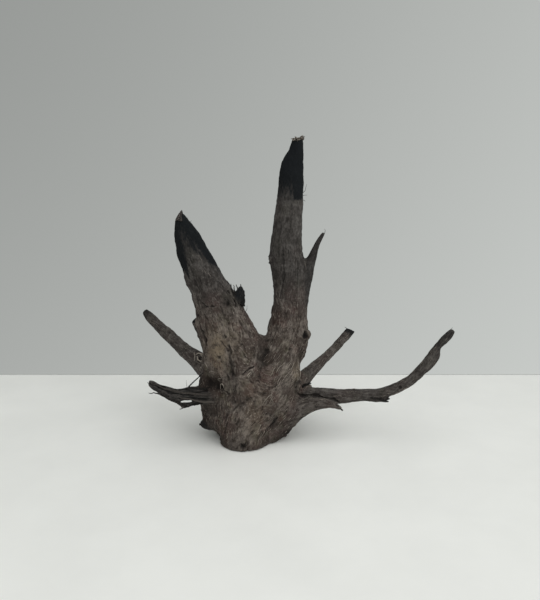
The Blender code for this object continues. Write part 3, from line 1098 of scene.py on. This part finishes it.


# %% [markdown]
# ## Splinters, teeth and hairs
#
# Where a root breaks, it splits along the grain into long splinters, and charred wood breaks into
# short teeth. The left prong ends in a few chips, the torn branch in a bundle of splinters, the
# bark flap in a jagged edge, and some twigs in a hook. A few rootlets, thin as hairs, stand off
# the outline. Each of them is one listed strand that is thin at its end.

# %% Chips at the end of the left prong
def bristle(path, radius, strand_tone, taper=0.15, wobble=0.0):
    """A strand through given places in mm, thick at its start and thin at its end."""
    line = smooth_path(path)
    line = line[:: max(1, len(line) // 8)]
    if wobble:
        line[1:-1] += rng.normal(0, wobble * MM, (len(line) - 2, 3))
    radii = np.linspace(1, taper, len(line)) * radius * MM
    return line, radii, strand_tone


TIP_CHIPS = [
    ([(-92, -28, 298), (-91.5, -28, 302), (-89.6, -26, 306), (-88.4, -25, 309.5)], 2.6, 0.42),
    ([(-88.5, -29.5, 297), (-88.5, -28.5, 301), (-88.3, -27, 306)], 2.3, 0.3),
    ([(-94, -26, 297), (-93, -26, 301), (-91, -25, 305.5)], 2.2, 0.35),
    ([(-86, -26, 300), (-87.2, -25, 304), (-87.8, -24, 310.5)], 1.6, 0.1),
]
add_strands("tip_chips", [bristle(*s, 0.35, 0.3) for s in TIP_CHIPS], tip_fibre, sides=6)

# %% Splinters of the torn branch
TORN_SPLINTERS = [
    ([(-58, -38, 72), (-80, -43, 75), (-106, -49, 83), (-131, -54, 94)], 1.8, 0.6),
    ([(-50, -41, 63), (-64, -43, 64), (-80, -45, 68), (-98, -49, 75)], 1.5, 0.95),
    ([(-60, -31, 77), (-78, -36, 79.5), (-92, -39, 80), (-103, -42, 81)], 1.7, 0.2),
    ([(-66, -36, 60), (-78, -40, 58.5), (-88, -42, 56.5), (-95.5, -43, 54)], 1.6, 0.15),
    ([(-86, -42, 57), (-98, -45, 63.5), (-112, -47, 71), (-124, -50, 79)], 1.6, 0.3),
    ([(-108, -46, 73), (-116, -46, 75.6), (-126, -46, 77.4), (-134, -47, 78)], 1.4, 0.05),
    ([(-112, -46, 85.5), (-122, -49, 89), (-128, -51, 91.5), (-134, -52, 94)], 1.2, 0.1),
]
add_strands("torn_splinters", [bristle(*s, 0.25, 0.4) for s in TORN_SPLINTERS], charred_fibre, sides=6)

# %% Teeth of the bark flap
FLAP_TEETH = [
    ([(-22, -21, 190), (-25.5, -20, 205), (-28, -19, 216)], 2.2, 0.2),
    ([(-20, -21, 192), (-22.5, -20, 206), (-24.5, -19, 214.5)], 1.8, 0.1),
    ([(-17, -21, 190), (-19, -19, 206), (-21, -18, 215)], 2.0, 0.3),
    ([(-14, -20, 188), (-14, -18, 202), (-15.5, -17, 215)], 2.6, 0.1),
    ([(-12, -19, 186), (-11, -17, 198), (-11.5, -16, 207)], 2.6, 0.1),
]
add_strands("bark_flap_teeth", [bristle(*s, 0.2, 0.4) for s in FLAP_TEETH], charred_fibre, sides=6)

# %% Ends of the broken twigs
HOOKS = [
    ([(158, -15, 60), (168, -18, 58.6), (177, -20, 57), (182.6, -21, 60.2)], 2.2, 0.25),
    ([(170, -18, 58), (177, -20, 55.6), (181.5, -20.5, 55.8)], 1.9, 0.15),
    ([(104, -27, 54.6), (112, -27.5, 52.6), (119.5, -28, 46)], 2.2, 0.4),
    ([(-63, -11, 20), (-68, -13, 20.5), (-73.5, -15, 20.4)], 3.0, 0.2),
    ([(66, -2, 70), (72, -1, 73), (78.6, 0, 74)], 2.2, 0.1),
]
add_strands("broken_twigs", [bristle(*s, 0.45, 0.35) for s in HOOKS], charred_fibre, sides=8)

# %% Rootlet hairs
HAIRS = [
    ([(66, 24, 330), (69, 24, 333), (69.6, 24, 337), (70.8, 24, 341)], 0.35, 0.3),
    ([(65, 22, 326), (68, 22, 327), (71.5, 22, 327)], 0.45, 0.2),
    ([(64, 20, 321), (67, 20, 320.6), (69, 20, 319)], 0.6, 0.1),
    ([(-80, -26, 294), (-77, -27, 296), (-75.5, -27, 298)], 0.4, 0.4),
    ([(-83, -26, 298), (-80.5, -27, 299.5), (-79.8, -27, 302)], 0.35, 0.4),
    ([(257, -23, 153), (258, -23, 156.5), (260.5, -23, 158.6)], 0.5, 0.5),
    ([(144, 129, 115), (141, 128, 119), (138.6, 128, 120.4)], 0.7, 0.2),
    ([(95, 20, 276), (96, 20, 281), (94.4, 20, 283)], 0.4, 0.8),
    ([(-84, -36, 82), (-79, -33, 86.5), (-72, -28, 92), (-66, -22, 97)], 1.2, 0.1),
    ([(-86, -36, 82), (-86.4, -37, 87), (-86.4, -37, 92)], 0.3, 0.9),
    ([(-12, -14, 176), (-8, -13, 180), (-7.4, -12, 186)], 0.35, 0.5),
]
add_strands("rootlet_hairs", [bristle(*s, 0.4) for s in HAIRS], charred_fibre, sides=4)

# %% [markdown]
# ## Curls and long fibres
#
# Around a knot the fibres had to bend, so when they come loose they curl up, pale on their fresh
# inner side. On the front of the stump some long fibres run up to the right. Both lie on the skin:
# each path is let down onto it, so that it follows every furrow.

# %% Strands that lie on the skin
def laid(path, radius, strand_tone, lift=0.6):
    """A strand through given places that is let down onto the skin and stands on it by its lift."""
    line = smooth_path(path)
    line = line[:: max(1, len(line) // 10)]
    places = []
    for place in line:
        spot, normal, _, _ = surface_tree.find_nearest(Vector(place))
        places.append(spot + normal * lift * radius * MM)
    radii = radius * MM * np.sin(math.pi * np.linspace(0.08, 0.92, len(places))) ** 0.6
    return places, radii, strand_tone

# %% Pale curls at the knots and long fibres
CURLS = [
    ([(-82, 36, 103), (-79, 38, 105), (-74, 36, 105), (-69, 33, 106)], 1.1, 1.2),
    ([(-80, 33, 102), (-78, 28, 99), (-73, 25, 98), (-69, 26, 101)], 1.0, 1.0),
    ([(-76, 35, 104), (-73, 31, 102), (-74, 26, 98)], 0.7, 1.0),
    ([(-85, 42, 103), (-83, 36, 101), (-82, 30, 97)], 0.6, 0.9),
    ([(-62, -26, 113), (-60, -28, 109), (-58, -29, 106)], 0.7, 0.6),
    ([(-7, -46, 99), (-6, -45, 102), (-4, -44, 103.5), (-1, -43, 101.5)], 0.55, 1.0),
    ([(-5, -44, 105), (-2, -43, 106), (1, -42, 105.5), (2.5, -42, 103)], 0.4, 0.7),
    ([(-5, -45, 99), (-4, -44, 101), (-2.5, -43, 99.5)], 0.5, 0.9),
    ([(-70, 18, 92), (-72, 20, 89), (-71, 24, 88)], 0.9, 0.9),
    ([(-66, 8, 90), (-67, 10, 86), (-65, 6, 84)], 0.8, 0.8),
    ([(-72, 24, 108), (-70, 21, 107), (-69, 19, 104)], 0.8, 0.9),
    ([(-44, -37, 82), (-42, -39, 86), (-40, -40, 87), (-38, -41, 85), (-39, -40, 82)], 0.75, 0.95),
    ([(-48, -36, 89), (-45, -39, 93), (-41, -41, 95)], 0.6, 0.5),
    ([(-58, -32, 100), (-54, -34, 103), (-50, -36, 102)], 0.6, 0.5),
]
EDGE_FIBRES = [
    ([(60, -18, 116), (62, -16, 104), (62, -15, 94), (61, -16, 82)], 0.6, 0.75),
    ([(58, -21, 100), (60, -19, 90), (60, -19, 80)], 0.45, 0.7),
]
LONG_FIBRES = [
    [(36, -32, 82), (44, -29, 93), (53, -25, 104), (61, -20, 114)],
    [(41, -30, 79), (49, -27, 89), (56, -23, 98), (61, -19, 108)],
    [(45, -29, 73), (52, -26, 82), (57, -22, 92), (60, -20, 103)],
    [(30, -33, 85), (40, -29, 98), (49, -26, 110), (58, -22, 123)],
    [(44, -30, 67), (50, -26, 69), (57, -20, 68)],
    [(12, -44, 64), (21, -40, 75), (30, -34, 83), (38, -30, 92)],
    [(20, -40, 60), (30, -35, 72), (40, -30, 81)],
    [(-8, -50, 70), (2, -47, 79), (12, -40, 89)],
    [(25, -32, 96), (34, -28, 108), (45, -26, 124)],
]
strands = []
for path in LONG_FIBRES:
    for _ in range(4):
        start = rng.uniform(0, 0.5)
        shift = rng.normal(0, 2.2, 3)
        line = smooth_path(path) / MM
        line = line[int(start * len(line)) : int((start + rng.uniform(0.3, 0.5)) * len(line))][::3]
        line = line + shift + rng.normal(0, 0.5, line.shape)
        if len(line) > 2:
            strands.append(laid(line, rng.uniform(0.2, 0.4), rng.uniform(0.35, 1.05)))
strands += [laid(*s) for s in EDGE_FIBRES]
add_strands("knot_curls", [laid(*s) for s in CURLS], weathered_fibre, sides=5)
add_strands("long_fibres", strands, weathered_fibre, sides=5)


# %% [markdown]
# ## Floor, light and camera
#
# The root stands near the back edge of a pale table, in front of a plain grey room that is a
# little brighter to the right. The light is soft and comes from a large panel above, so the
# shadows under the branches are faint and wide. The camera stands a step away, a little above the
# root, and looks slightly down.

# %% Table
TABLE_SIZE = (2.6, 1.9, 0.9)
TABLE_BACK = 0.252
JOINT_WIDTH = 1.8 * MM


def add_block(name, size, place, colour, roughness):
    """A plain box for the stage, in one colour that is slightly uneven."""
    bpy.ops.object.select_all(action="DESELECT")
    bpy.ops.mesh.primitive_cube_add(size=1, location=place, scale=size)
    block = bpy.context.object
    block.name = name
    bpy.ops.object.transform_apply(location=True, rotation=True, scale=True)
    material, surface = start_material(name)
    darker = [0.96 * part for part in linear(colour)]
    finish = {
        "Base Color": mix_colour(between(spots(140, 4.0), 0.3, 0.7), colour, darker),
        "Roughness": between(spots(90, 3.0), 0.3, 0.7, roughness - 0.06, roughness + 0.06),
        "Normal": bumps(0.1, 0.3, spots(3, 2.0)),
    }
    feed(surface, finish)
    block.data.materials.append(material)
    print(name, [round(side, 4) for side in size], "m")


add_block("table", TABLE_SIZE, (0, TABLE_BACK - TABLE_SIZE[1] / 2, -TABLE_SIZE[2] / 2), "#F1F1EE", 0.5)
joint_place = (0, TABLE_BACK + JOINT_WIDTH / 2, -JOINT_WIDTH / 2 + 0.6 * MM)
add_block("table_joint", (TABLE_SIZE[0], JOINT_WIDTH, JOINT_WIDTH), joint_place, "#B9BAB8", 0.7)

# %% Room light
ROOM_BRIGHTNESS = 0.6
ROOM_SLOPE = (0.22, -0.17, -0.17)
ROOM_COLOUR = (0.965, 1.0, 0.965, 1)

scene = bpy.context.scene
scene.view_settings.view_transform = "Standard"
scene.view_settings.look = "None"
room = bpy.data.worlds.new("grey_room")
scene.world = room
room.use_nodes = True
tree = room.node_tree
way_out = add_node("TexCoord").outputs["Generated"]
slope = add_node("VectorMath", {0: way_out, 1: ROOM_SLOPE}, operation="DOT_PRODUCT").outputs["Value"]
brightness = compute("ADD", slope, ROOM_BRIGHTNESS)
feed(tree.nodes["Background"], {"Strength": brightness, "Color": ROOM_COLOUR})


def add_panel(name, place, target, size, power):
    """A square soft light at a place, turned to a target."""
    data = bpy.data.lights.new(name, "AREA")
    data.shape = "SQUARE"
    data.size = size
    data.energy = power
    lamp = bpy.data.objects.new(name, data)
    lamp.location = place
    lamp.rotation_euler = (Vector(target) - Vector(place)).to_track_quat("-Z", "Y").to_euler()
    scene.collection.objects.link(lamp)
    print(name, size, "m,", power, "W")


add_panel("ceiling_panel", (0.3, -0.75, 1.8), (0.1, -0.4, 0), 2.4, 22)
add_panel("window", (1.6, -1.6, 1.1), (0, 0, 0.1), 1.2, 5)

# %% Camera
LENS = 37.2
SENSOR = 36.0
CAMERA_PLACE = (0.0226, -0.805, 0.3617)
LOOK_DOWN = math.radians(12)

camera_data = bpy.data.cameras.new("camera")
camera_data.lens = LENS
camera_data.sensor_width = SENSOR
camera = bpy.data.objects.new("camera", camera_data)
camera.location = CAMERA_PLACE
camera.rotation_euler = (math.pi / 2 - LOOK_DOWN, 0, 0)
scene.collection.objects.link(camera)
scene.camera = camera
print("camera with a lens of", LENS, "mm at", CAMERA_PLACE)
